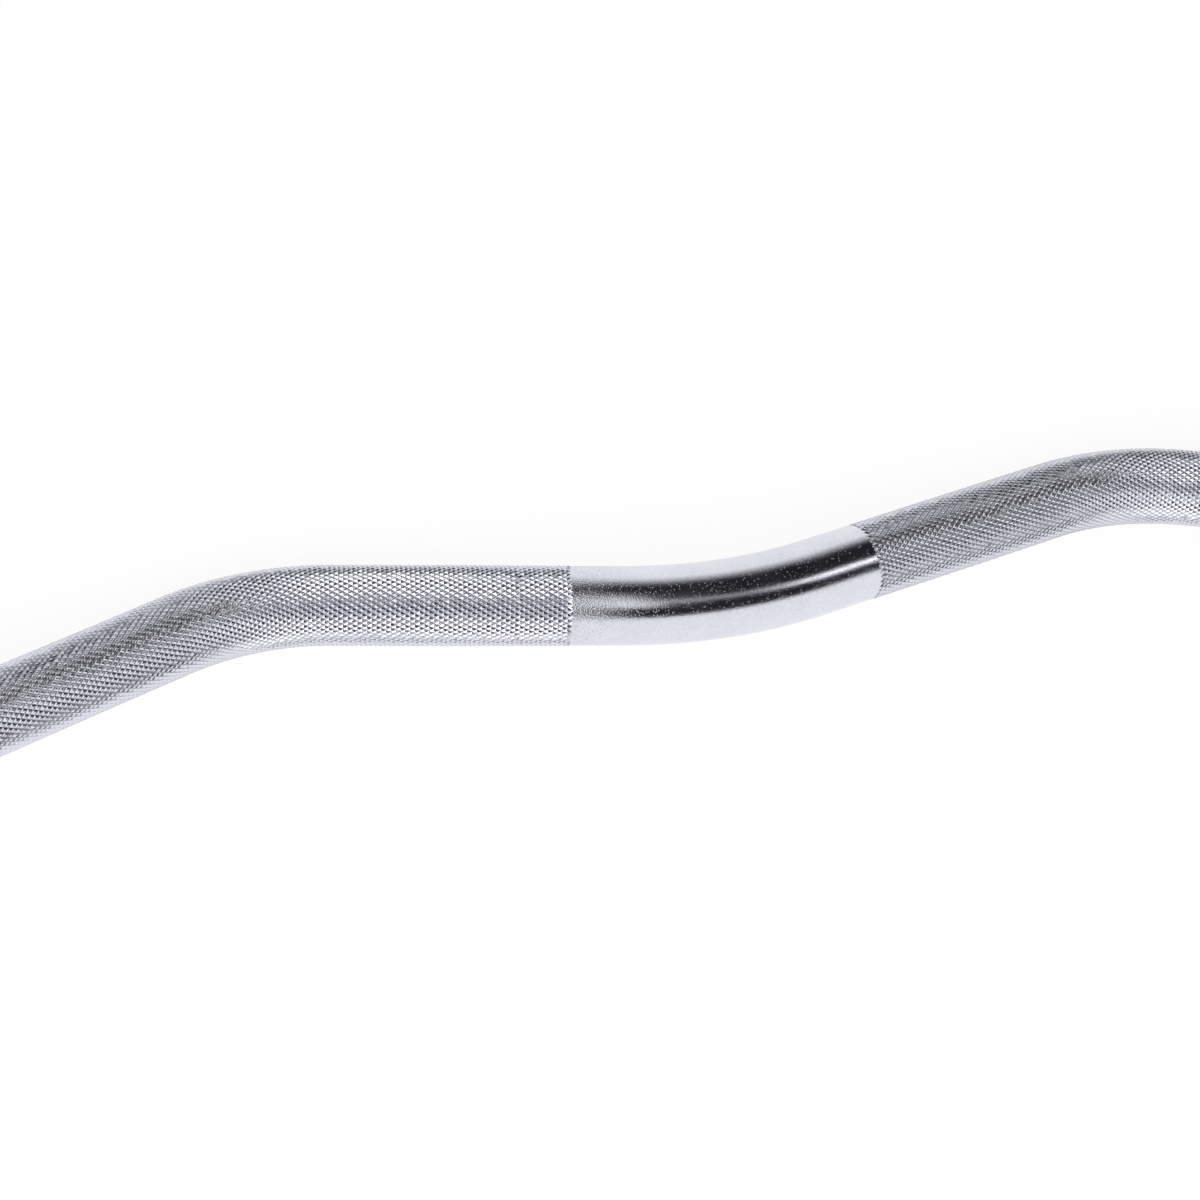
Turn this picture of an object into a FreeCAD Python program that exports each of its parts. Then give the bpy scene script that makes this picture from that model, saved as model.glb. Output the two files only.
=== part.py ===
import FreeCAD, Part
import os
import Sketcher
from math import cos, radians, sin
from FreeCAD import Placement, Rotation, Vector

# Curl bar with a bent shaft and two revolving sleeves for weight plates.
# X runs along the sleeves, Z is up, and the bar lies on the floor at Z = 0:
# it stands on the rims of its two collars and on the two peaks of the bent shaft.
# Lengths are in millimetres and angles in degrees.
SIZES = {
    # bent shaft
    "grip_diameter": 28.0,
    "knurl_height": 0.2,
    "inner_angle": 12.0,
    "outer_angle": 20.0,
    "centre_bend_radius": 172.0,
    "peak_bend_radius": 102.0,
    "end_bend_radius": 100.0,
    "smooth_straight": 19.5,
    "inner_straight": 102.7,
    "outer_straight": 73.1,
    "knurl_end_straight": 10.0,
    # journal that each sleeve turns on
    "shoulder_height": 1.5,
    "journal_stub": 3.5,
    "journal_gap": 3.0,
    "journal_chamfer": 1.0,
    # collars and sleeves
    "collar_spacing": 800.0,
    "collar_diameter": 76.0,
    "collar_width": 25.0,
    "collar_seat_depth": 2.0,
    "collar_fillet": 3.0,
    "sleeve_diameter": 50.0,
    "sleeve_length": 175.0,
    "sleeve_chamfer": 1.5,
    "mouth_chamfer": 0.8,
    # bushes and thrust washers
    "running_clearance": 0.05,
    "bush_wall": 3.0,
    "bush_length": 27.0,
    "flange_height": 2.0,
    "flange_thickness": 3.0,
    "end_play": 0.3,
    "washer_thickness": 2.0,
    "washer_bore_gap": 0.2,
    "washer_rim_gap": 0.5,
    # dust seal
    "seal_recess": 0.5,
    "seal_width": 5.0,
    "seal_gap": 0.5,
    "seal_clearance": 0.3,
    "seal_lip": 1.6,
    # retaining rings
    "snap_ring_thickness": 1.2,
    "snap_ring_width": 3.0,
    "snap_groove_depth": 0.6,
    "snap_groove_slack": 0.1,
    "cap_ring_thickness": 1.6,
    "cap_ring_width": 3.0,
    "cap_ring_inset": 2.4,
    "cap_groove_depth": 1.2,
    "ring_gap": 6.0,
    "lug_diameter": 4.0,
    "lug_hole_diameter": 1.7,
    "lug_offset": 0.5,
    # end caps
    "cap_rim_wall": 3.5,
    "cap_height": 10.0,
    "cap_skirt": 2.5,
    "cap_face": 3.0,
    "cap_dish": 1.2,
    "cap_rim": 4.0,
}

doc = FreeCAD.newDocument("curl_bar")
sizes = doc.addObject("Spreadsheet::Sheet", "sizes")
for row, (alias, number) in enumerate(SIZES.items(), start=1):
    sizes.set(f"A{row}", alias)
    sizes.set(f"B{row}", str(number))
    sizes.setAlias(f"B{row}", alias)
doc.recompute()

# Radii, as formulas on the sheet
GRIP_R = "sizes.grip_diameter / 2"
KNURL_R = f"{GRIP_R} + sizes.knurl_height"
JOURNAL_R = f"{GRIP_R} - sizes.shoulder_height"
GROOVE_R = f"{JOURNAL_R} - sizes.snap_groove_depth"
BUSH_BORE_R = f"{JOURNAL_R} + sizes.running_clearance"
BUSH_R = f"{BUSH_BORE_R} + sizes.bush_wall"
FLANGE_R = f"{BUSH_R} + sizes.flange_height"
SLEEVE_R = "sizes.sleeve_diameter / 2"
COLLAR_R = "sizes.collar_diameter / 2"
COLLAR_SEAT_R = f"{SLEEVE_R} - sizes.collar_seat_depth"
CAP_R = f"{SLEEVE_R} - sizes.cap_rim_wall"
CAP_GROOVE_R = f"{CAP_R} + sizes.cap_groove_depth"

# Places along the bar on the right-hand side, from its middle outwards
FACE_X = "sizes.collar_spacing / 2"
COLLAR_END_X = f"{FACE_X} + sizes.collar_width"
SEAL_X = f"{FACE_X} + sizes.seal_recess"
SEAL_END_X = f"{SEAL_X} + sizes.seal_width"
SHOULDER_X = f"{SEAL_END_X} + sizes.seal_gap"
INNER_FLANGE_X = f"{SHOULDER_X} + sizes.washer_thickness + sizes.end_play"
INNER_SEAT_X = f"{INNER_FLANGE_X} + sizes.flange_thickness"
SLEEVE_END_X = f"{COLLAR_END_X} + sizes.sleeve_length"
CAP_RING_END_X = f"{SLEEVE_END_X} - sizes.cap_ring_inset"
CAP_FACE_X = f"{CAP_RING_END_X} - sizes.cap_ring_thickness"
CAP_SEAT_X = f"{CAP_FACE_X} - sizes.cap_height"
JOURNAL_END_X = f"{CAP_SEAT_X} - sizes.journal_gap"
SNAP_END_X = f"{JOURNAL_END_X} - sizes.journal_stub"
SNAP_X = f"{SNAP_END_X} - sizes.snap_ring_thickness"
OUTER_WASHER_X = f"{SNAP_X} - sizes.washer_thickness"
OUTER_FLANGE_X = f"{OUTER_WASHER_X} - sizes.end_play"
OUTER_SEAT_X = f"{OUTER_FLANGE_X} - sizes.flange_thickness"

# The bent path: where the knurl ends along X, and how far the peaks and the centre
# stand off the sleeve axis
INNER = "(sizes.inner_angle * 1 deg)"
OUTER = "(sizes.outer_angle * 1 deg)"
KNURL_END_X = (
    f"sizes.centre_bend_radius * sin({INNER}) + sizes.inner_straight * cos({INNER})"
    f" + sizes.peak_bend_radius * (sin({INNER}) + sin({OUTER}))"
    f" + sizes.outer_straight * cos({OUTER}) + sizes.end_bend_radius * sin({OUTER})"
    " + sizes.knurl_end_straight"
)
PEAK_OFFSET = (
    f"(sizes.peak_bend_radius + sizes.end_bend_radius) * (1 - cos({OUTER}))"
    f" + sizes.outer_straight * sin({OUTER})"
)
CENTRE_OFFSET = (
    f"{PEAK_OFFSET} - sizes.inner_straight * sin({INNER})"
    f" - (sizes.peak_bend_radius + sizes.centre_bend_radius) * (1 - cos({INNER}))"
)
# The shaft rolls about the sleeve axis until its peaks meet the floor
LIE_ANGLE = f"asin(min(1; ({COLLAR_R} - ({KNURL_R})) / ({PEAK_OFFSET})))"


def value(formula):
    """The number that a formula gives with the sheet's present sizes."""
    number = sizes.evalExpression(formula)
    return float(getattr(number, "Value", number))


def plane(body, role):
    """One of the body's own origin planes."""
    return next(o for o in body.Origin.OriginFeatures if o.Role == role)


def new_body(label, side=1):
    """Empty body on the sleeve axis; on the left-hand side it is turned half round."""
    body = doc.addObject("PartDesign::Body", label)
    body.Label = label
    turn = Rotation(Vector(0, 0, 1), 0 if side > 0 else 180)
    body.Placement = Placement(Vector(0, 0, value(COLLAR_R)), turn)
    body.setExpression("Placement.Base.z", COLLAR_R)
    return body


def new_sketch(body, name, role, along=None):
    """Sketch on an origin plane, moved along the plane's normal by a formula."""
    sketch = body.newObject("Sketcher::SketchObject", name)
    sketch.AttachmentSupport = (plane(body, role), [""])
    sketch.MapMode = "FlatFace"
    if along:
        sketch.setExpression("AttachmentOffset.Base.z", along)
    return sketch


def bind(sketch, kind, *where, formula):
    """Sketch dimension that follows a formula."""
    index = sketch.addConstraint(Sketcher.Constraint(kind, *where, value(formula)))
    sketch.setExpression(f"Constraints[{index}]", formula)


def bind_angle(sketch, line, formula):
    """Slope of a line of a sketch."""
    index = sketch.addConstraint(Sketcher.Constraint("Angle", line, radians(value(formula))))
    sketch.setExpression(f"Constraints[{index}]", formula)


def place(sketch, geometry, point, across, up):
    """Fixes a point of a sketch; a coordinate of None lies on the sketch's axis."""
    if across is None:
        sketch.addConstraint(Sketcher.Constraint("PointOnObject", geometry, point, -2))
    else:
        bind(sketch, "DistanceX", -1, 1, geometry, point, formula=across)
    if up is None:
        sketch.addConstraint(Sketcher.Constraint("PointOnObject", geometry, point, -1))
    else:
        bind(sketch, "DistanceY", -1, 1, geometry, point, formula=up)


def circle(sketch, radius, across=None, up=None):
    """Circle of a radius formula about a point of the sketch."""
    centre = Vector(value(across) if across else 0, value(up) if up else 0, 0)
    index = sketch.addGeometry(Part.Circle(centre, Vector(0, 0, 1), value(radius)))
    place(sketch, index, 3, across, up)
    bind(sketch, "Radius", index, formula=radius)


def polygon(sketch, corners):
    """Closed outline in an empty sketch, through corners given as pairs of formulas."""
    points = [Vector(value(x) if x else 0, value(y) if y else 0, 0) for x, y in corners]
    count = len(points)
    for i in range(count):
        sketch.addGeometry(Part.LineSegment(points[i], points[(i + 1) % count]))
    for i in range(count):
        sketch.addConstraint(Sketcher.Constraint("Coincident", i, 2, (i + 1) % count, 1))
    for i, (x, y) in enumerate(corners):
        place(sketch, i, 1, x, y)


def turned(body, name, corners):
    """Solid turned about the sleeve axis from corners (along the bar, off the axis)."""
    sketch = new_sketch(body, f"{name}_outline", "XY_Plane")
    polygon(sketch, corners)
    feature = body.newObject("PartDesign::Revolution", name)
    feature.Profile = sketch
    feature.ReferenceAxis = (sketch, ["H_Axis"])
    feature.Angle = 360
    return feature


def padded(body, name, sketch, depth):
    """Sketch thickened outwards along the bar."""
    feature = body.newObject("PartDesign::Pad", name)
    feature.Profile = sketch
    feature.setExpression("Length", depth)
    return feature


def rim_edges(feature, radius):
    """Names of the round edges of one radius."""
    wanted = value(radius)
    names = []
    for number, edge in enumerate(feature.Shape.Edges, start=1):
        if isinstance(edge.Curve, Part.Circle) and abs(edge.Curve.Radius / wanted - 1) < 1e-6:
            names.append(f"Edge{number}")
    return names


def bend_path(body):
    """Centre line of the right half of the bent shaft, flat in the XY plane."""
    sketch = new_sketch(body, "bend_path", "XY_Plane")
    inner = SIZES["inner_angle"]
    outer = SIZES["outer_angle"]
    grip = "sizes.inner_straight - sizes.smooth_straight"
    # runs in order: turn in degrees with its bend radius, or a straight length
    runs = [
        (inner, "sizes.centre_bend_radius"),
        (0, "sizes.smooth_straight"),
        (0, grip),
        (-inner - outer, "sizes.peak_bend_radius"),
        (0, "sizes.outer_straight"),
        (outer, "sizes.end_bend_radius"),
        (0, "sizes.knurl_end_straight"),
    ]
    here = Vector(0, value(CENTRE_OFFSET), 0)
    heading = 0
    ends = []
    for turn, formula in runs:
        size = value(formula)
        if turn == 0:
            there = here + Vector(cos(radians(heading)), sin(radians(heading)), 0) * size
            index = sketch.addGeometry(Part.LineSegment(here, there))
            bind(sketch, "Distance", index, formula=formula)
            ends.append((1, 2))
        else:
            sign = 1 if turn > 0 else -1
            normal = Vector(-sin(radians(heading)), cos(radians(heading)), 0) * sign
            middle = here + normal * size
            start = radians(heading - sign * 90)
            stop = radians(heading + turn - sign * 90)
            bend = Part.Circle(middle, Vector(0, 0, 1), size)
            index = sketch.addGeometry(Part.ArcOfCircle(bend, min(start, stop), max(start, stop)))
            bind(sketch, "Radius", index, formula=formula)
            there = middle + Vector(cos(stop), sin(stop), 0) * size
            ends.append((1, 2) if turn > 0 else (2, 1))
        here = there
        heading += turn
    for i in range(len(runs) - 1):
        meet = Sketcher.Constraint("Tangent", i, ends[i][1], i + 1, ends[i + 1][0])
        sketch.addConstraint(meet)
    last = len(runs) - 1
    sketch.addConstraint(Sketcher.Constraint("PointOnObject", 0, 1, -2))
    sketch.addConstraint(Sketcher.Constraint("PointOnObject", 0, 3, -2))
    sketch.addConstraint(Sketcher.Constraint("PointOnObject", last, 1, -1))
    sketch.addConstraint(Sketcher.Constraint("PointOnObject", last, 2, -1))
    bind_angle(sketch, 1, INNER)
    bind_angle(sketch, 4, f"-{OUTER}")
    return sketch


def swept(body, name, path, edges, radius):
    """Round bar swept along some edges of the path."""
    section = body.newObject("Sketcher::SketchObject", f"{name}_section")
    section.AttachmentSupport = (path, [edges[0]])
    section.MapMode = "NormalToEdge"
    section.MapPathParameter = 0
    circle(section, radius)
    feature = body.newObject("PartDesign::AdditivePipe", name)
    feature.Profile = section
    feature.Spine = (path, edges)
    return feature


def bar_shaft():
    """Bent shaft with smooth centre, knurled grips, straight ends and turned journals."""
    body = new_body("bar_shaft")
    path = bend_path(body)
    doc.recompute()
    centre = swept(body, "smooth_centre", path, ["Edge1", "Edge2"], GRIP_R)
    grips = swept(body, "knurled_grip", path, [f"Edge{n}" for n in range(3, 8)], KNURL_R)
    groove_x = f"{SNAP_X} - sizes.snap_groove_slack"
    end = turned(body, "straight_end", [
        (KNURL_END_X, None),
        (KNURL_END_X, GRIP_R),
        (SHOULDER_X, GRIP_R),
        (SHOULDER_X, JOURNAL_R),
        (groove_x, JOURNAL_R),
        (groove_x, GROOVE_R),
        (SNAP_END_X, GROOVE_R),
        (SNAP_END_X, JOURNAL_R),
        (f"{JOURNAL_END_X} - sizes.journal_chamfer", JOURNAL_R),
        (JOURNAL_END_X, f"{JOURNAL_R} - sizes.journal_chamfer"),
        (JOURNAL_END_X, None),
    ])
    other = body.newObject("PartDesign::Mirrored", "other_half")
    other.Originals = [centre, grips, end]
    other.MirrorPlane = (plane(body, "YZ_Plane"), [""])
    body.Tip = other
    body.Placement.Rotation = Rotation(Vector(-1, 0, 0), value(LIE_ANGLE))
    body.setExpression("Placement.Rotation.Angle", LIE_ANGLE)
    return body


def sleeve(label, side):
    """Sleeve tube with its collar seat, bush seats, cap seat and ring groove."""
    body = new_body(label, side)
    turned(body, "tube", [
        (FACE_X, FLANGE_R),
        (FACE_X, COLLAR_SEAT_R),
        (COLLAR_END_X, COLLAR_SEAT_R),
        (COLLAR_END_X, SLEEVE_R),
        (f"{SLEEVE_END_X} - sizes.sleeve_chamfer", SLEEVE_R),
        (SLEEVE_END_X, f"{SLEEVE_R} - sizes.sleeve_chamfer"),
        (SLEEVE_END_X, f"{CAP_R} + sizes.mouth_chamfer"),
        (f"{SLEEVE_END_X} - sizes.mouth_chamfer", CAP_R),
        (CAP_RING_END_X, CAP_R),
        (CAP_RING_END_X, CAP_GROOVE_R),
        (CAP_FACE_X, CAP_GROOVE_R),
        (CAP_FACE_X, CAP_R),
        (CAP_SEAT_X, CAP_R),
        (CAP_SEAT_X, FLANGE_R),
        (OUTER_SEAT_X, FLANGE_R),
        (OUTER_SEAT_X, BUSH_R),
        (INNER_SEAT_X, BUSH_R),
        (INNER_SEAT_X, FLANGE_R),
    ])
    return body


def collar(label, side):
    """Stop collar pressed onto the inner end of the sleeve, with rounded rims."""
    body = new_body(label, side)
    section = new_sketch(body, "section", "YZ_Plane", FACE_X)
    circle(section, COLLAR_R)
    circle(section, COLLAR_SEAT_R)
    ring = padded(body, "ring", section, "sizes.collar_width")
    doc.recompute()
    rounding = body.newObject("PartDesign::Fillet", "rounded_rims")
    rounding.Base = (ring, rim_edges(ring, COLLAR_R))
    rounding.setExpression("Radius", "sizes.collar_fillet")
    return body


def dust_seal(label, side):
    """Rubber ring in the mouth of the sleeve, tapered to a lip beside the shaft."""
    body = new_body(label, side)
    lip_r = f"{GRIP_R} + sizes.seal_clearance"
    turned(body, "ring", [
        (SEAL_X, lip_r),
        (SEAL_X, f"{lip_r} + sizes.seal_lip"),
        (f"{SEAL_X} + sizes.seal_lip", FLANGE_R),
        (SEAL_END_X, FLANGE_R),
        (SEAL_END_X, f"{lip_r} + sizes.seal_lip"),
        (f"{SEAL_END_X} - sizes.seal_lip", lip_r),
    ])
    return body


def washer(label, side, start):
    """Thrust washer on the journal, starting at a place along the bar."""
    body = new_body(label, side)
    section = new_sketch(body, "section", "YZ_Plane", start)
    circle(section, f"{FLANGE_R} - sizes.washer_rim_gap")
    circle(section, f"{JOURNAL_R} + sizes.washer_bore_gap")
    padded(body, "ring", section, "sizes.washer_thickness")
    return body


def bush(label, side, flange_x, seat_x, end_x):
    """Flanged bush pressed into the sleeve, with the journal turning in its bore."""
    body = new_body(label, side)
    turned(body, "bush", [
        (flange_x, BUSH_BORE_R),
        (flange_x, FLANGE_R),
        (seat_x, FLANGE_R),
        (seat_x, BUSH_R),
        (end_x, BUSH_R),
        (end_x, BUSH_BORE_R),
    ])
    return body


def retaining_ring(label, side, start, thickness, outer_r, inner_r, lug_up):
    """Split ring in a groove, with an eye for pliers at each side of the split."""
    body = new_body(label, side)
    section = new_sketch(body, "section", "YZ_Plane", start)
    circle(section, outer_r)
    circle(section, inner_r)
    padded(body, "ring", section, thickness)
    doc.recompute()
    half_gap = "sizes.ring_gap / 2"
    slot = new_sketch(body, "slot_outline", "YZ_Plane", start)
    polygon(slot, [
        (f"-({half_gap})", None),
        (half_gap, None),
        (half_gap, f"{outer_r} + sizes.ring_gap"),
        (f"-({half_gap})", f"{outer_r} + sizes.ring_gap"),
    ])
    split = body.newObject("PartDesign::Pocket", "split")
    split.Profile = slot
    split.Type = 1
    split.Midplane = True
    doc.recompute()
    eyes = new_sketch(body, "eyes_outline", "YZ_Plane", start)
    eye_x = f"{half_gap} + sizes.lug_diameter / 2"
    for across in (eye_x, f"-({eye_x})"):
        circle(eyes, "sizes.lug_diameter / 2", across, lug_up)
    padded(body, "eyes", eyes, thickness)
    doc.recompute()
    holes = new_sketch(body, "holes_outline", "YZ_Plane", start)
    for across in (eye_x, f"-({eye_x})"):
        circle(holes, "sizes.lug_hole_diameter / 2", across, lug_up)
    drilled = body.newObject("PartDesign::Pocket", "plier_holes")
    drilled.Profile = holes
    drilled.Type = 1
    drilled.Midplane = True
    return body


def snap_ring(label, side):
    """Ring round the journal that keeps the sleeve on the shaft."""
    ring_r = f"{GROOVE_R} + sizes.snap_ring_width"
    eye_up = f"{GROOVE_R} + sizes.lug_diameter / 2 - sizes.lug_offset"
    return retaining_ring(label, side, SNAP_X, "sizes.snap_ring_thickness", ring_r, GROOVE_R, eye_up)


def cap_ring(label, side):
    """Ring inside the sleeve's mouth that keeps the end cap in."""
    ring_r = f"{CAP_GROOVE_R} - sizes.cap_ring_width"
    eye_up = f"{ring_r} - sizes.lug_offset"
    return retaining_ring(
        label, side, CAP_FACE_X, "sizes.cap_ring_thickness", CAP_GROOVE_R, ring_r, eye_up
    )


def end_cap(label, side):
    """Cup that closes the sleeve's mouth, with a dished face inside a flat rim."""
    body = new_body(label, side)
    dish_x = f"{CAP_FACE_X} - sizes.cap_dish"
    dish_r = f"{CAP_R} - sizes.cap_rim"
    inside_x = f"{CAP_FACE_X} - sizes.cap_face"
    inside_r = f"{CAP_R} - sizes.cap_skirt"
    turned(body, "cup", [
        (inside_x, None),
        (inside_x, inside_r),
        (CAP_SEAT_X, inside_r),
        (CAP_SEAT_X, CAP_R),
        (CAP_FACE_X, CAP_R),
        (CAP_FACE_X, dish_r),
        (dish_x, f"{dish_r} - sizes.cap_dish"),
        (dish_x, None),
    ])
    return body


parts = [bar_shaft()]
for hand, side in (("left", -1), ("right", 1)):
    parts += [
        sleeve(f"{hand}_sleeve", side),
        collar(f"{hand}_collar", side),
        dust_seal(f"{hand}_dust_seal", side),
        washer(f"{hand}_inner_washer", side, SHOULDER_X),
        bush(
            f"{hand}_inner_bush", side, INNER_FLANGE_X, INNER_SEAT_X,
            f"{INNER_SEAT_X} + sizes.bush_length",
        ),
        bush(
            f"{hand}_outer_bush", side, OUTER_FLANGE_X, OUTER_SEAT_X,
            f"{OUTER_SEAT_X} - sizes.bush_length",
        ),
        washer(f"{hand}_outer_washer", side, OUTER_WASHER_X),
        snap_ring(f"{hand}_snap_ring", side),
        end_cap(f"{hand}_end_cap", side),
        cap_ring(f"{hand}_cap_ring", side),
    ]
doc.recompute()

for item in doc.Objects:
    if "Invalid" in item.State or "Error" in item.State:
        raise RuntimeError(f"{item.Label} failed: {item.State}")
for part in parts:
    if part.Shape.isNull() or not part.Shape.isValid() or len(part.Shape.Solids) != 1:
        raise RuntimeError(f"{part.Label} is not one valid solid")

os.makedirs("parts", exist_ok=True)
for part in parts:
    solid = part.Shape.Solids[0]
    solid.exportStep(f"parts/{part.Label}.step")
    box = solid.optimalBoundingBox()
    reach = [box.XMin, box.XMax, box.YMin, box.YMax, box.ZMin, box.ZMax]
    print(part.Label, round(solid.Volume), [round(number, 2) for number in reach])
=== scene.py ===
import math
import bpy
import numpy as np
from mathutils import Matrix, Vector


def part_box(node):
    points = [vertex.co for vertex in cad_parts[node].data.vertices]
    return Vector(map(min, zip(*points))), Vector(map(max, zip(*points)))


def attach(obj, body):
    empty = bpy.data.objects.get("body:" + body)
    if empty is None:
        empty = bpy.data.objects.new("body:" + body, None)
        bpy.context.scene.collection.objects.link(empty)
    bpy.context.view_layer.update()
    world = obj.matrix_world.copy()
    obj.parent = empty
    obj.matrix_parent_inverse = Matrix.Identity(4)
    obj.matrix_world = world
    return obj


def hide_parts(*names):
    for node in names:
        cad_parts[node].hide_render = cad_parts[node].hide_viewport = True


# Curl bar with a bent shaft, knurled grips and two revolving sleeves.
# Lengths are in metres. X runs along the sleeves and Z is up.
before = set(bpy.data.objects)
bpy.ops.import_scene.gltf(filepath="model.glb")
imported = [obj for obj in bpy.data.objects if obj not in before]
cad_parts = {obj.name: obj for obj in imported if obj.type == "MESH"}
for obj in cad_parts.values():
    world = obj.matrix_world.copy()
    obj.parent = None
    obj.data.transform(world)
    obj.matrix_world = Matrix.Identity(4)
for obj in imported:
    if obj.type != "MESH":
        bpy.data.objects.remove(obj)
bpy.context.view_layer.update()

# Sizes of the bent shaft, the same as in the CAD model
GRIP_RADIUS = 0.0140
CREST_RADIUS = 0.0142
INNER_ANGLE = math.radians(12)
OUTER_ANGLE = math.radians(20)
CENTRE_BEND = 0.172
PEAK_BEND = 0.102
END_BEND = 0.100
SMOOTH_STRAIGHT = 0.0195
INNER_STRAIGHT = 0.1027
OUTER_STRAIGHT = 0.0731
KNURL_END_STRAIGHT = 0.010
JOURNAL_RADIUS = 0.0125
SNAP_GROOVE_RADIUS = 0.0119
SHOULDER_EDGE = 0.0003
JOURNAL_EDGE = 0.001

# The knurl: two families of grooves that cross, with a diamond between them
KNURL_STARTS = 43
KNURL_HALF_PITCHES = 156
KNURL_TWIST = -0.07
KNURL_DEPTH = 0.00058
KNURL_RUN_OUT = 0.0008
KNURL_SEED = 7
# Each ring of a diamond above its foot: its share of the diamond's width, and of its height
DIAMOND_RINGS = [(0.95, 0.05), (0.45, 0.82), (0.18, 1.00)]
# One family of grooves is wider than the other, by this share
GROOVE_SKEW = 0.08
# Slow waves in the diamonds' heights: change per row, waves round the bar, and start
SLOW_WAVES = [(0.11, 2, 0.0), (0.047, -1, 1.3)]
SLOW_SPREAD = 0.25
# Spread of the heights from diamond to diamond, and tilt of each diamond's top
QUICK_SPREAD = 0.12
TOP_UNEVENNESS = 0.16
# Row of the seam across the left grip, and the share of their height that its diamonds have
SEAM_ROW = 145
SEAM_DEPTH = 0.75

# Faces that meet at more than this angle have a sharp edge between them
SHARP_ANGLE = math.radians(65)
FACET_ANGLE = math.radians(18)
# Rows of points along the smooth centre, and points round it and round the straight ends
CENTRE_ROWS = 121
CENTRE_COLUMNS = 192
END_COLUMNS = 128
# The smooth centre is hazy beside the left grip, over this length, and how the haze falls off
HAZE_REACH = 0.030
HAZE_FALL = 1.5

# Places along the bar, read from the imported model
AXIS_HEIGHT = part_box("right_collar")[1].z / 2
SHOULDER_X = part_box("right_inner_washer")[0].x
SNAP_X, SNAP_END_X = (corner.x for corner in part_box("right_snap_ring"))
JOURNAL_END_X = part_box("bar_shaft")[1].x

# The shaft's centreline, from its middle outwards: length and turn of each run
RUNS = [
    (CENTRE_BEND * INNER_ANGLE, INNER_ANGLE),
    (INNER_STRAIGHT, 0.0),
    (PEAK_BEND * (INNER_ANGLE + OUTER_ANGLE), -INNER_ANGLE - OUTER_ANGLE),
    (OUTER_STRAIGHT, 0.0),
    (END_BEND * OUTER_ANGLE, OUTER_ANGLE),
    (KNURL_END_STRAIGHT, 0.0),
]
KNURL_START = RUNS[0][0] + SMOOTH_STRAIGHT
KNURL_END = sum(length for length, turn in RUNS)
PEAK_OFFSET = (PEAK_BEND + END_BEND) * (1 - math.cos(OUTER_ANGLE))
PEAK_OFFSET += OUTER_STRAIGHT * math.sin(OUTER_ANGLE)
CENTRE_OFFSET = PEAK_OFFSET - INNER_STRAIGHT * math.sin(INNER_ANGLE)
CENTRE_OFFSET -= (CENTRE_BEND + PEAK_BEND) * (1 - math.cos(INNER_ANGLE))
LIE_ANGLE = math.asin((AXIS_HEIGHT - CREST_RADIUS) / PEAK_OFFSET)


def centreline(along):
    """Place and heading in the shaft's own plane, by distance from the shaft's middle."""
    rest = np.abs(along)
    x = np.zeros_like(rest)
    y = np.full_like(rest, CENTRE_OFFSET)
    heading = np.zeros_like(rest)
    for length, turn in RUNS:
        step = np.minimum(rest, length)
        after = heading + step / length * turn
        if turn:
            radius = length / turn
            x += radius * (np.sin(after) - np.sin(heading))
            y += radius * (np.cos(heading) - np.cos(after))
        else:
            x += step * np.cos(heading)
            y += step * np.sin(heading)
        heading = after
        rest = rest - step
    return x * np.sign(along), y, heading * np.sign(along)


def on_shaft(along, angle, radius):
    """Points round the bent centreline, turned to the way the bar lies on the floor."""
    x, y, heading = centreline(along)
    in_plane = radius * np.cos(angle)
    flat_y = y + in_plane * np.cos(heading)
    flat_z = radius * np.sin(angle)
    return np.column_stack([
        x - in_plane * np.sin(heading),
        flat_y * math.cos(LIE_ANGLE) + flat_z * math.sin(LIE_ANGLE),
        AXIS_HEIGHT - flat_y * math.sin(LIE_ANGLE) + flat_z * math.cos(LIE_ANGLE),
    ])


def piece(name, points, faces, smooth=True, sharp_angle=SHARP_ANGLE):
    """Mesh object in the scene, from its points and faces."""
    mesh = bpy.data.meshes.new(name)
    mesh.from_pydata(np.asarray(points).tolist(), [], faces)
    mesh.polygons.foreach_set("use_smooth", [smooth] * len(mesh.polygons))
    mesh.set_sharp_from_angle(angle=sharp_angle)
    mesh.update()
    made = bpy.data.objects.new(name, mesh)
    bpy.context.scene.collection.objects.link(made)
    return made


def point_values(made, name, values):
    """Stores one number per point of a piece, for its material to read."""
    stored = made.data.attributes.new(name, "FLOAT", "POINT")
    stored.data.foreach_set("value", np.array(values, np.float32))


def tube_faces(rows, columns):
    """Outward faces of a closed tube whose points come row by row, with rows towards +X."""
    faces = []
    for row in range(rows - 1):
        for column in range(columns):
            beside = (column + 1) % columns
            faces.append((
                row * columns + column,
                row * columns + beside,
                (row + 1) * columns + beside,
                (row + 1) * columns + column,
            ))
    faces.append(tuple(reversed(range(columns))))
    faces.append(tuple(range((rows - 1) * columns, rows * columns)))
    return faces


def smooth_tube(name, start, stop, rows, columns):
    """Plain round stretch of the bent shaft, closed at both ends and hazy at its start."""
    along = np.repeat(np.linspace(start, stop, rows), columns)
    angle = np.tile(np.linspace(0, 2 * math.pi, columns, endpoint=False), rows)
    made = piece(name, on_shaft(along, angle, GRIP_RADIUS), tube_faces(rows, columns))
    point_values(made, "haze", np.clip(1 - (along - start) / HAZE_REACH, 0, 1) ** HAZE_FALL)
    return made


def turned(name, hand, profile, columns):
    """Solid turned about the sleeves' axis, from places along it and radii, closed at both ends."""
    angle = np.linspace(0, 2 * math.pi, columns, endpoint=False)
    points = []
    for x, radius in profile:
        points.append(np.column_stack([
            np.full(columns, hand * x),
            radius * np.cos(angle),
            AXIS_HEIGHT + radius * np.sin(angle),
        ]))
    faces = tube_faces(len(profile), columns)
    if hand < 0:
        faces = [face[::-1] for face in faces]
    return piece(name, np.vstack(points), faces)


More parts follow.
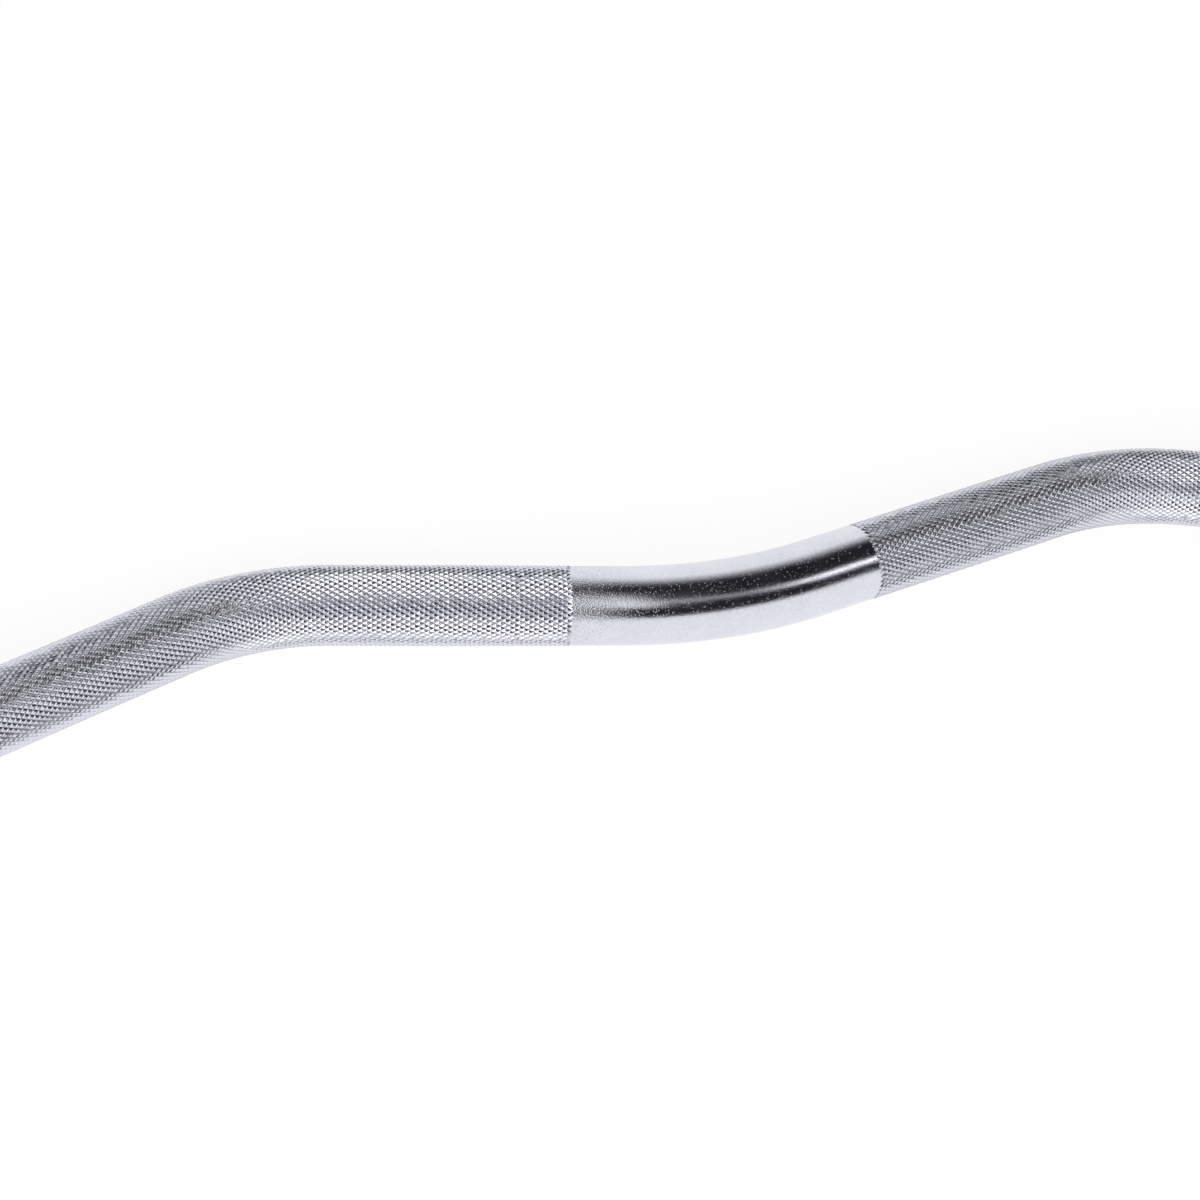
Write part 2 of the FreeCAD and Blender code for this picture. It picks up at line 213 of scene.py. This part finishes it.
def diamond_heights(rows, seam_row, random):
    """Height of each diamond, uneven as rolled steel is, and low along the seam."""
    row = np.arange(rows + 1)[:, None]
    turn = np.arange(KNURL_STARTS)[None, :] / KNURL_STARTS * 2 * math.pi
    slow = sum(np.sin(row * rate + waves * turn + start) for rate, waves, start in SLOW_WAVES)
    height = 1 - SLOW_SPREAD * (slow / len(SLOW_WAVES) + 1) / 2
    height = height - QUICK_SPREAD * random.random((rows + 1, KNURL_STARTS))
    if seam_row is not None:
        height[seam_row] *= SEAM_DEPTH
    return height * KNURL_DEPTH


def knurled_tube(name, start, stop, seam_row=None):
    """Stretch of the shaft covered in real diamonds, closed at both ends."""
    rows, starts = KNURL_HALF_PITCHES, KNURL_STARTS
    step = (stop - start) / rows
    half_turn = math.pi / starts
    random = np.random.default_rng(KNURL_SEED)
    heights = diamond_heights(rows, seam_row, random)
    along, angle, radius, relief = [], [], [], []

    def add_points(row, turn, deep, share):
        first = len(along)
        along.extend(row * step + start)
        angle.extend((turn + KNURL_TWIST * row) * half_turn)
        radius.extend(CREST_RADIUS - deep)
        relief.extend(share)
        return first

    # Bottoms of the grooves, where they cross
    for row in range(rows + 1):
        turns = 2 * np.arange(starts) + (row + 1) % 2
        flat = np.ones(starts)
        add_points(row * flat, turns, KNURL_DEPTH * flat, 0 * flat)

    def crossing(row, turn):
        return row * starts + (turn - (row + 1) % 2) // 2 % starts

    # Diamonds, halved where the grip begins and ends
    faces = []
    ends = {0: [], rows: []}
    for row in range(rows + 1):
        corners = [(1, 0), (0, 1), (-1, 0), (0, -1)]
        if row == 0:
            corners = [(0, -1), (1, 0), (0, 1)]
        if row == rows:
            corners = [(0, 1), (-1, 0), (0, -1)]
        whole = len(corners) == 4
        for place in range(starts):
            turn = 2 * place + row % 2
            rings = [[crossing(row + r, turn + t) for r, t in corners]]
            lean_along, lean_round = random.uniform(-TOP_UNEVENNESS, TOP_UNEVENNESS, 2)
            for share, lift in DIAMOND_RINGS:
                skew = GROOVE_SKEW * (1 - share) if whole else 0.0
                lean = np.array([1 + share * (lean_along * r + lean_round * t) for r, t in corners])
                first = add_points(
                    np.array([row + share * r + skew * t for r, t in corners]),
                    np.array([turn + share * t + skew * r for r, t in corners]),
                    KNURL_DEPTH - lift * heights[row, place] * lean,
                    np.full(len(corners), lift),
                )
                rings.append(list(range(first, first + len(corners))))
            for outer, inner in zip(rings, rings[1:]):
                for i in range(len(corners) if whole else len(corners) - 1):
                    j = (i + 1) % len(corners)
                    faces.append((inner[i], inner[j], outer[j], outer[i]))
            faces.append(tuple(reversed(rings[-1])))
            if not whole:
                low = [ring[0] for ring in rings]
                high = [ring[-1] for ring in reversed(rings)]
                ends[row].append(low + high[:-1])

    # The grooves run out at both ends, where the grip meets the smooth steel
    from_end = np.minimum(np.array(along) - start, stop - np.array(along))
    share_left = np.clip(from_end / KNURL_RUN_OUT, 0, 1)
    radius = GRIP_RADIUS + (np.array(radius) - GRIP_RADIUS) * share_left
    points = on_shaft(np.array(along), np.array(angle), radius)

    # Flat end walls
    for row, loops in ends.items():
        order = loops if row == 0 else loops[::-1]
        rim = [corner for loop in order for corner in loop]
        centre = len(points)
        where = np.array([start + row * step])
        points = np.vstack([points, on_shaft(where, np.zeros(1), np.zeros(1))])
        relief.append(0.0)
        for i, corner in enumerate(rim):
            faces.append((rim[(i + 1) % len(rim)], corner, centre))
    made = piece(name, points, faces, sharp_angle=FACET_ANGLE)
    point_values(made, "relief", relief)
    return made


def add(tree, kind, *values, **settings):
    """Shader node with its settings, and a value or a link for each input in turn."""
    made = tree.nodes.new("ShaderNode" + kind)
    for name, setting in settings.items():
        setattr(made, name, setting)
    for socket, value in zip(made.inputs, values):
        if isinstance(value, bpy.types.NodeSocket):
            tree.links.new(value, socket)
        elif value is not None:
            socket.default_value = value
    return made.outputs


def calculate(tree, operation, *values):
    """Result of a Math node."""
    return add(tree, "Math", *values, operation=operation)[0]


def times(tree, *values):
    """Product of two or more values."""
    total = values[0]
    for value in values[1:]:
        total = calculate(tree, "MULTIPLY", total, value)
    return total


def between(tree, value, low, high, start, stop):
    """Smooth step from start to stop as value goes from low to high."""
    return add(
        tree, "MapRange", value, low, high, start, stop, interpolation_type="SMOOTHSTEP"
    )[0]


def noise(tree, place, scale, detail=2, roughness=0.5):
    """Grey noise with features about 1/scale metres across."""
    made = tree.nodes.new("ShaderNodeTexNoise")
    tree.links.new(place, made.inputs["Vector"])
    made.inputs["Scale"].default_value = scale
    made.inputs["Detail"].default_value = detail
    made.inputs["Roughness"].default_value = roughness
    return made.outputs[0]


def tinted(tree, factor, dark, light):
    """Colour that goes from dark to light with factor."""
    made = tree.nodes.new("ShaderNodeMix")
    made.data_type = "RGBA"
    tree.links.new(factor, made.inputs["Factor"])
    made.inputs["A"].default_value = (*dark, 1)
    made.inputs["B"].default_value = (*light, 1)
    return made.outputs["Result"]


def bumped(tree, height, depth, normal=None):
    """Normal of a surface whose height varies by depth."""
    made = tree.nodes.new("ShaderNodeBump")
    made.inputs["Strength"].default_value = 1.0
    made.inputs["Distance"].default_value = depth
    tree.links.new(height, made.inputs["Height"])
    if normal is not None:
        tree.links.new(normal, made.inputs["Normal"])
    return made.outputs[0]


def material(name, metallic):
    """New material: its tree, its shader's inputs and the place on the surface in metres."""
    made = bpy.data.materials.new(name)
    made.use_nodes = True
    tree = made.node_tree
    inputs = tree.nodes["Principled BSDF"].inputs
    inputs["Metallic"].default_value = metallic
    place = tree.nodes.new("ShaderNodeTexCoord").outputs["Object"]
    return made, tree, inputs, place


def stored_values(tree, name):
    """Number that a piece stores at each of its points."""
    return add(tree, "Attribute", attribute_name=name)[2]


# Range over which a noise turns into gloss or wear
NOISE_RANGE = (0.3, 0.7)

# Plated steel: features per metre of its clouds, mottle, grain, specks and pits
PLATE_CLOUDS = 70
PLATE_MOTTLE = 1100
PLATE_GRAIN = 1800
PLATE_SPECKS = 1500
PLATE_PITS = 1600
# Reach of a speck as a share of its cell, and how much the specks differ
SPECK_REACH = 0.30
SPECK_CONTRAST = 1.2
# Where it is hazy, the grain is deeper, pits darken the colour and the gloss is lower
HAZE_GRAIN = 5.0
HAZE_PITS = (0.50, 0.62, 0.0, 0.5)
HAZE_ROUGHNESS = 0.02


def plated_steel(name, dark, light, gloss, grain_depth, speck_depth):
    """Chrome plate with uneven gloss, a fine grain and specks, and grainier and pitted where hazy."""
    made, tree, inputs, place = material(name, 1.0)
    haze = stored_values(tree, "haze")
    cloud = noise(tree, place, PLATE_CLOUDS, detail=3)
    cells = tree.nodes.new("ShaderNodeTexVoronoi")
    tree.links.new(place, cells.inputs["Vector"])
    cells.inputs["Scale"].default_value = PLATE_SPECKS
    uneven = add(tree, "SeparateColor", cells.outputs["Color"])[0]
    specks = between(tree, cells.outputs["Distance"], 0.0, SPECK_REACH, 1.0, 0.0)
    specks = times(tree, specks, calculate(tree, "POWER", uneven, SPECK_CONTRAST))
    deeper = calculate(tree, "MULTIPLY_ADD", haze, HAZE_GRAIN, 1.0)
    grain = times(tree, noise(tree, place, PLATE_GRAIN), deeper)
    normal = bumped(tree, specks, speck_depth, bumped(tree, grain, grain_depth))
    shade = calculate(tree, "ADD", cloud, noise(tree, place, PLATE_MOTTLE, detail=3))
    pits = between(tree, noise(tree, place, PLATE_PITS), *HAZE_PITS)
    shade = calculate(tree, "SUBTRACT", times(tree, shade, 0.5), times(tree, pits, haze))
    tree.links.new(tinted(tree, shade, dark, light), inputs["Base Color"])
    dull = between(tree, cloud, *NOISE_RANGE, *gloss)
    dull = calculate(tree, "MULTIPLY_ADD", haze, HAZE_ROUGHNESS, dull)
    tree.links.new(dull, inputs["Roughness"])
    tree.links.new(normal, inputs["Normal"])
    return made


# Knurled steel: features per metre of its clouds and grain, and the grain's depth
KNURL_CLOUDS = 55
KNURL_GRAIN = 2600
KNURL_GRAIN_DEPTH = 0.000008
# Share of a diamond's height below which the plate is darkened with painted shade and dirt, and the
# wear of the plate above it
KNURL_SHADE_AND_DIRT_BELOW = 0.60
KNURL_WEAR = (0.88, 1.0)
# In the grooves and on the tops: colour and roughness. The grooves' colour is darker with painted
# shade and dirt
GROOVE_SHADE_AND_DIRT_COLOUR = (0.635, 0.635, 0.71)
TOP_COLOUR = (0.795, 0.795, 0.875)
GROOVE_TO_TOP_ROUGHNESS = (0.34, 0.19)
# Colour of the reflection at a glancing angle
KNURL_EDGE_TINT = (0.05, 0.05, 0.06, 1)


def knurled_steel(name):
    """Chrome plate over the knurl, duller down in its grooves and darker there with painted shade and
    dirt.
    """
    made, tree, inputs, place = material(name, 1.0)
    relief = stored_values(tree, "relief")
    cloud = noise(tree, place, KNURL_CLOUDS, detail=3)
    # Painted shade and dirt: the colour darkens from 0.6 of a diamond's height down to the groove
    # bottoms
    lit_and_clean = between(tree, relief, 0.0, KNURL_SHADE_AND_DIRT_BELOW, 0.0, 1.0)
    lit_and_clean = times(tree, lit_and_clean, between(tree, cloud, *NOISE_RANGE, *KNURL_WEAR))
    tree.links.new(tinted(tree, lit_and_clean, GROOVE_SHADE_AND_DIRT_COLOUR, TOP_COLOUR), inputs["Base Color"])
    inputs["Specular Tint"].default_value = KNURL_EDGE_TINT
    tree.links.new(between(tree, lit_and_clean, 0.0, 1.0, *GROOVE_TO_TOP_ROUGHNESS), inputs["Roughness"])
    grain = noise(tree, place, KNURL_GRAIN)
    tree.links.new(bumped(tree, grain, KNURL_GRAIN_DEPTH), inputs["Normal"])
    return made


# Turned and moulded pieces: features per metre of the clouds, and roughness of the finer noise
TURNED_CLOUDS = 60
TURNED_MARKS_ROUGHNESS = 0.7
MOULDED_CLOUDS = 90
MOULDED_GRAIN_ROUGHNESS = 0.6


def turned_metal(name, dark, light, gloss, line_scale, line_depth):
    """Metal with fine turning marks round the sleeves' axis."""
    made, tree, inputs, place = material(name, 1.0)
    x, y, z = add(tree, "SeparateXYZ", place)
    from_axis = add(tree, "CombineXYZ", 0.0, y, calculate(tree, "SUBTRACT", z, AXIS_HEIGHT))[0]
    radius = add(tree, "VectorMath", from_axis, operation="LENGTH")[1]
    across = add(tree, "CombineXYZ", calculate(tree, "ADD", x, radius), 0.0, 0.0)[0]
    marks = noise(tree, across, line_scale, detail=3, roughness=TURNED_MARKS_ROUGHNESS)
    cloud = noise(tree, place, TURNED_CLOUDS, detail=3)
    tree.links.new(tinted(tree, cloud, dark, light), inputs["Base Color"])
    tree.links.new(between(tree, cloud, *NOISE_RANGE, *gloss), inputs["Roughness"])
    tree.links.new(bumped(tree, marks, line_depth), inputs["Normal"])
    return made


def moulded(name, dark, light, gloss, grain_scale, grain_depth):
    """Plastic or rubber with a moulded grain."""
    made, tree, inputs, place = material(name, 0.0)
    cloud = noise(tree, place, MOULDED_CLOUDS, detail=3)
    grain = noise(tree, place, grain_scale, detail=3, roughness=MOULDED_GRAIN_ROUGHNESS)
    tree.links.new(tinted(tree, cloud, dark, light), inputs["Base Color"])
    tree.links.new(between(tree, grain, *NOISE_RANGE, *gloss), inputs["Roughness"])
    tree.links.new(bumped(tree, grain, grain_depth), inputs["Normal"])
    return made


# Finishes: two colours, the range of the roughness, and the depth or scale of the fine relief
FINISHES = {
    "shaft": plated_steel(
        "shaft_chrome", (0.58, 0.58, 0.635), (0.88, 0.88, 0.97), gloss=(0.13, 0.18),
        grain_depth=0.000025, speck_depth=0.00008,
    ),
    "knurl": knurled_steel("knurl_chrome"),
    "sleeve": turned_metal(
        "sleeve_chrome", (0.61, 0.61, 0.67), (0.69, 0.69, 0.75), gloss=(0.10, 0.17),
        line_scale=2500, line_depth=0.000006,
    ),
    "collar": turned_metal(
        "collar_chrome", (0.60, 0.60, 0.66), (0.68, 0.68, 0.74), gloss=(0.12, 0.20),
        line_scale=1800, line_depth=0.000008,
    ),
    "washer": turned_metal(
        "washer_zinc", (0.50, 0.52, 0.54), (0.62, 0.63, 0.62), gloss=(0.28, 0.42),
        line_scale=1500, line_depth=0.000010,
    ),
    "ring": turned_metal(
        "ring_phosphate", (0.045, 0.045, 0.05), (0.09, 0.09, 0.095), gloss=(0.40, 0.55),
        line_scale=1500, line_depth=0.000006,
    ),
    "bush": turned_metal(
        "bush_bronze", (0.48, 0.30, 0.14), (0.62, 0.42, 0.22), gloss=(0.25, 0.38),
        line_scale=1800, line_depth=0.000008,
    ),
    "seal": moulded(
        "seal_rubber", (0.018, 0.018, 0.019), (0.035, 0.035, 0.036), gloss=(0.55, 0.75),
        grain_scale=3000, grain_depth=0.00002,
    ),
    "cap": moulded(
        "cap_plastic", (0.022, 0.022, 0.024), (0.038, 0.038, 0.040), gloss=(0.38, 0.55),
        grain_scale=2400, grain_depth=0.00003,
    ),
}


def finish_piece(made, finish):
    """Puts a finish on a piece or a CAD node."""
    made.data.materials.clear()
    made.data.materials.append(FINISHES[finish])


def shaft_piece(made, finish):
    """A stretch of the shaft: it moves with the shaft and stands for its CAD node."""
    finish_piece(made, finish)
    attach(made, "shaft")
    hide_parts("bar_shaft")


# The shaft: smooth centre, knurled grips, and straight ends with their journals
smooth_centre = smooth_tube("smooth_centre", -KNURL_START, KNURL_START, CENTRE_ROWS, CENTRE_COLUMNS)
shaft_piece(smooth_centre, "shaft")
shaft_piece(knurled_tube("left_grip", -KNURL_END, -KNURL_START, SEAM_ROW), "knurl")
shaft_piece(knurled_tube("right_grip", KNURL_START, KNURL_END), "knurl")
KNURL_END_X = float(centreline(np.array([KNURL_END]))[0][0])
STRAIGHT_END = [
    (KNURL_END_X, GRIP_RADIUS),
    (SHOULDER_X - SHOULDER_EDGE, GRIP_RADIUS),
    (SHOULDER_X, GRIP_RADIUS - SHOULDER_EDGE),
    (SHOULDER_X, JOURNAL_RADIUS),
    (SNAP_X, JOURNAL_RADIUS),
    (SNAP_X, SNAP_GROOVE_RADIUS),
    (SNAP_END_X, SNAP_GROOVE_RADIUS),
    (SNAP_END_X, JOURNAL_RADIUS),
    (JOURNAL_END_X - JOURNAL_EDGE, JOURNAL_RADIUS),
    (JOURNAL_END_X, JOURNAL_RADIUS - JOURNAL_EDGE),
]
for side, hand in (("left", -1), ("right", 1)):
    shaft_piece(turned(f"{side}_straight_end", hand, STRAIGHT_END, END_COLUMNS), "shaft")

# The other pieces keep their CAD shapes and get finishes
NODE_FINISHES = {
    "sleeve": "sleeve",
    "collar": "collar",
    "dust_seal": "seal",
    "inner_washer": "washer",
    "outer_washer": "washer",
    "inner_bush": "bush",
    "outer_bush": "bush",
    "snap_ring": "ring",
    "cap_ring": "ring",
    "end_cap": "cap",
}
for side in ("left", "right"):
    for node, finish in NODE_FINISHES.items():
        finish_piece(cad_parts[f"{side}_{node}"], finish)
finish_piece(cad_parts["bar_shaft"], "shaft")

# The studio as bright metal shows it, by direction. Each step has two places on an axis, and the
# level at each of them.
# The dark ceiling ends over the front, over the back, at the floor and at the far right
FRONT_TILT = (-0.214, 0.900, 0.435)
CEILING_FRONT = (-0.40, -0.20, 0.0, 1.0)
BACK_TILT = 0.465
CEILING_BACK = (0.225, 0.78, 0.0, 1.0)
CEILING_FLOOR = (0.0, 0.06, 0.0, 1.0)
CEILING_RIGHT = (1.0, 0.88, 0.0, 1.0)
CEILING_LEVEL = 0.012
# A wide light to the left
WIDE_NEAR = (-0.08, -0.30, 0.0, 1.2)
WIDE_FAR = (-0.40, -0.70, 0.0, 1.3)
WIDE_FAR_HEIGHT = (0.35, 0.58, 0.0, 1.0)
WIDE_BACK = (0.85, 0.55, 0.0, 1.0)
WIDE_END = (-0.93, -0.80, 0.15, 1.0)
# A patch of light above
PATCH_RIGHT = (0.11, -0.02, 0.0, 1.05)
PATCH_FRONT = (-0.34, -0.14, 0.0, 1.0)
PATCH_BACK = (0.70, 0.15, 0.0, 1.0)
# A strip of light to the right
STRIP_MIDDLE = 0.01
STRIP_ACROSS = (0.17, 0.0, 0.0, 1.0)
STRIP_RISE = (0.36, 0.66, 0.30, 2.0)
STRIP_START = (-0.05, 0.10, 0.0, 1.0)
STRIP_END = (0.62, 0.78, 1.0, 0.0)
# A darker corner low in the left front
CORNER_LEFT = (-0.32, -0.50, 0.0, 0.75)
CORNER_FRONT = (-0.40, -0.55, 0.0, 1.0)
CORNER_BOTTOM = (0.02, 0.10, 0.0, 1.0)
CORNER_TOP = (0.56, 0.42, 0.0, 1.0)
# The dark parts are a little blue
DARK_TINT = (0.88, 0.88, 1.08)
WHITE = (1.0, 1.0, 1.0)
DARK_TINT_STEP = (0.0, 0.3, 0.0, 1.0)
# Level at which the studio lights matt surfaces
SOFT_LEVEL = 0.7


def studio_world():
    """White all round, with a dark ceiling that bright metal shows as a band along it."""
    world = bpy.data.worlds.new("studio")
    bpy.context.scene.world = world
    world.use_nodes = True
    tree = world.node_tree
    direction = tree.nodes.new("ShaderNodeTexCoord").outputs["Generated"]
    x, y, z = add(tree, "SeparateXYZ", direction)

    def step(value, bounds):
        return between(tree, value, *bounds)

    over_front = add(tree, "VectorMath", direction, FRONT_TILT, operation="DOT_PRODUCT")[1]
    over_back = calculate(tree, "MULTIPLY_ADD", calculate(tree, "ABSOLUTE", x), BACK_TILT, z)
    ceiling = times(
        tree,
        step(over_front, CEILING_FRONT),
        step(over_back, CEILING_BACK),
        step(z, CEILING_FLOOR),
        step(x, CEILING_RIGHT),
    )
    far = times(tree, step(x, WIDE_FAR), step(z, WIDE_FAR_HEIGHT))
    wide = calculate(tree, "ADD", step(x, WIDE_NEAR), far)
    wide = times(tree, wide, step(y, WIDE_BACK), step(x, WIDE_END))
    patch = times(tree, step(x, PATCH_RIGHT), step(y, PATCH_FRONT), step(y, PATCH_BACK))
    off_strip = calculate(tree, "ABSOLUTE", calculate(tree, "SUBTRACT", y, STRIP_MIDDLE))
    strip = times(
        tree,
        step(off_strip, STRIP_ACROSS),
        step(x, STRIP_RISE),
        step(x, STRIP_START),
        step(x, STRIP_END),
    )
    overhead = calculate(tree, "ADD", calculate(tree, "MAXIMUM", wide, patch), strip)
    overhead = calculate(tree, "ADD", overhead, CEILING_LEVEL)
    # Away from the ceiling the level is 1, and under it the level is the overhead one
    less = times(tree, ceiling, calculate(tree, "SUBTRACT", 1.0, overhead))
    level = calculate(tree, "SUBTRACT", 1.0, less)
    corner = times(
        tree,
        step(x, CORNER_LEFT),
        step(y, CORNER_FRONT),
        step(z, CORNER_BOTTOM),
        step(z, CORNER_TOP),
    )
    level = times(tree, level, calculate(tree, "SUBTRACT", 1.0, corner))
    # Metal shows the studio, the camera sees white, and the rest gets the soft level
    rays = tree.nodes.new("ShaderNodeLightPath").outputs
    shiny = calculate(tree, "MAXIMUM", rays["Is Glossy Ray"], rays["Is Transmission Ray"])
    plain = calculate(tree, "MAXIMUM", rays["Is Camera Ray"], SOFT_LEVEL)
    blended = tree.nodes.new("ShaderNodeMix")
    tree.links.new(shiny, blended.inputs["Factor"])
    tree.links.new(plain, blended.inputs["A"])
    tree.links.new(level, blended.inputs["B"])
    strength = blended.outputs["Result"]
    background = tree.nodes["Background"].inputs
    lit = step(strength, DARK_TINT_STEP)
    tree.links.new(tinted(tree, lit, DARK_TINT, WHITE), background["Color"])
    tree.links.new(strength, background["Strength"])


# The floor: half its side, its drop below the bar, its paint, and how far it glows by itself:
# to the camera by distance from the bar, and in reflections
FLOOR_HALF = 6.0
FLOOR_DROP = 0.0002
FLOOR_COLOUR = (0.93, 0.93, 0.93, 1)
FLOOR_ROUGHNESS = 0.9
FLOOR_GLOW = (0.8, 2.0, 0.90, 1.0)
FLOOR_GLOW_MIRRORED = 0.75


def studio_floor():
    """Wide pale floor: white to the camera and in reflections, with part of the bar's shadow."""
    half = FLOOR_HALF
    corners = [(-half, -half, 0), (half, -half, 0), (half, half, 0), (-half, half, 0)]
    floor = piece("floor", corners, [(0, 1, 2, 3)], smooth=False)
    floor.location.z = -FLOOR_DROP
    paint = bpy.data.materials.new("floor_white")
    paint.use_nodes = True
    tree = paint.node_tree
    shader = tree.nodes["Principled BSDF"]
    shader.inputs["Base Color"].default_value = FLOOR_COLOUR
    shader.inputs["Roughness"].default_value = FLOOR_ROUGHNESS
    glow = tree.nodes.new("ShaderNodeEmission")
    rays = tree.nodes.new("ShaderNodeLightPath").outputs
    mirrored = calculate(tree, "MAXIMUM", rays["Is Glossy Ray"], rays["Is Transmission Ray"])
    mirrored = times(tree, mirrored, FLOOR_GLOW_MIRRORED)
    seen = calculate(tree, "MAXIMUM", rays["Is Camera Ray"], mirrored)
    place = tree.nodes.new("ShaderNodeTexCoord").outputs["Object"]
    distance = add(tree, "VectorMath", place, operation="LENGTH")[1]
    share = times(tree, seen, between(tree, distance, *FLOOR_GLOW))
    mixed = tree.nodes.new("ShaderNodeMixShader")
    tree.links.new(share, mixed.inputs[0])
    tree.links.new(shader.outputs[0], mixed.inputs[1])
    tree.links.new(glow.outputs[0], mixed.inputs[2])
    tree.links.new(mixed.outputs[0], tree.nodes["Material Output"].inputs["Surface"])
    floor.data.materials.append(paint)


def soft_lamp(name, place, target, size, power):
    """Square soft light that the camera and the metal don't show."""
    lamp = bpy.data.lights.new(name, "AREA")
    lamp.shape = "SQUARE"
    lamp.size = size
    lamp.energy = power
    made = bpy.data.objects.new(name, lamp)
    bpy.context.scene.collection.objects.link(made)
    made.location = place
    made.rotation_euler = (Vector(target) - Vector(place)).to_track_quat("-Z", "Y").to_euler()
    made.visible_camera = False
    made.visible_glossy = False


studio_world()
studio_floor()
soft_lamp("key", place=(-0.7, -0.9, 1.9), target=(0, 0, 0), size=1.6, power=30)

# Camera at the photograph's place: the middle of the bar from above, close to
IMAGE_SIDE = 1200
FOCAL_PIXELS = 3008
SENSOR_WIDTH = 36
CAMERA_PLACE = Vector((-0.3198, -0.0739, 1.0473))
CAMERA_LOOK = Vector((0.26071, 0.08277, -0.96186))
CAMERA_UP = Vector((0.14196, 0.98220, 0.12300))
camera_data = bpy.data.cameras.new("camera")
camera_data.sensor_width = SENSOR_WIDTH
camera_data.lens = FOCAL_PIXELS / IMAGE_SIDE * SENSOR_WIDTH
camera = bpy.data.objects.new("camera", camera_data)
bpy.context.scene.collection.objects.link(camera)
camera_right = CAMERA_LOOK.cross(CAMERA_UP).normalized()
camera_up = camera_right.cross(CAMERA_LOOK).normalized()
camera_turn = Matrix((camera_right, camera_up, -CAMERA_LOOK.normalized())).transposed()
camera.matrix_world = Matrix.Translation(CAMERA_PLACE) @ camera_turn.to_4x4()
bpy.context.scene.camera = camera
bpy.context.scene.view_settings.view_transform = "Standard"
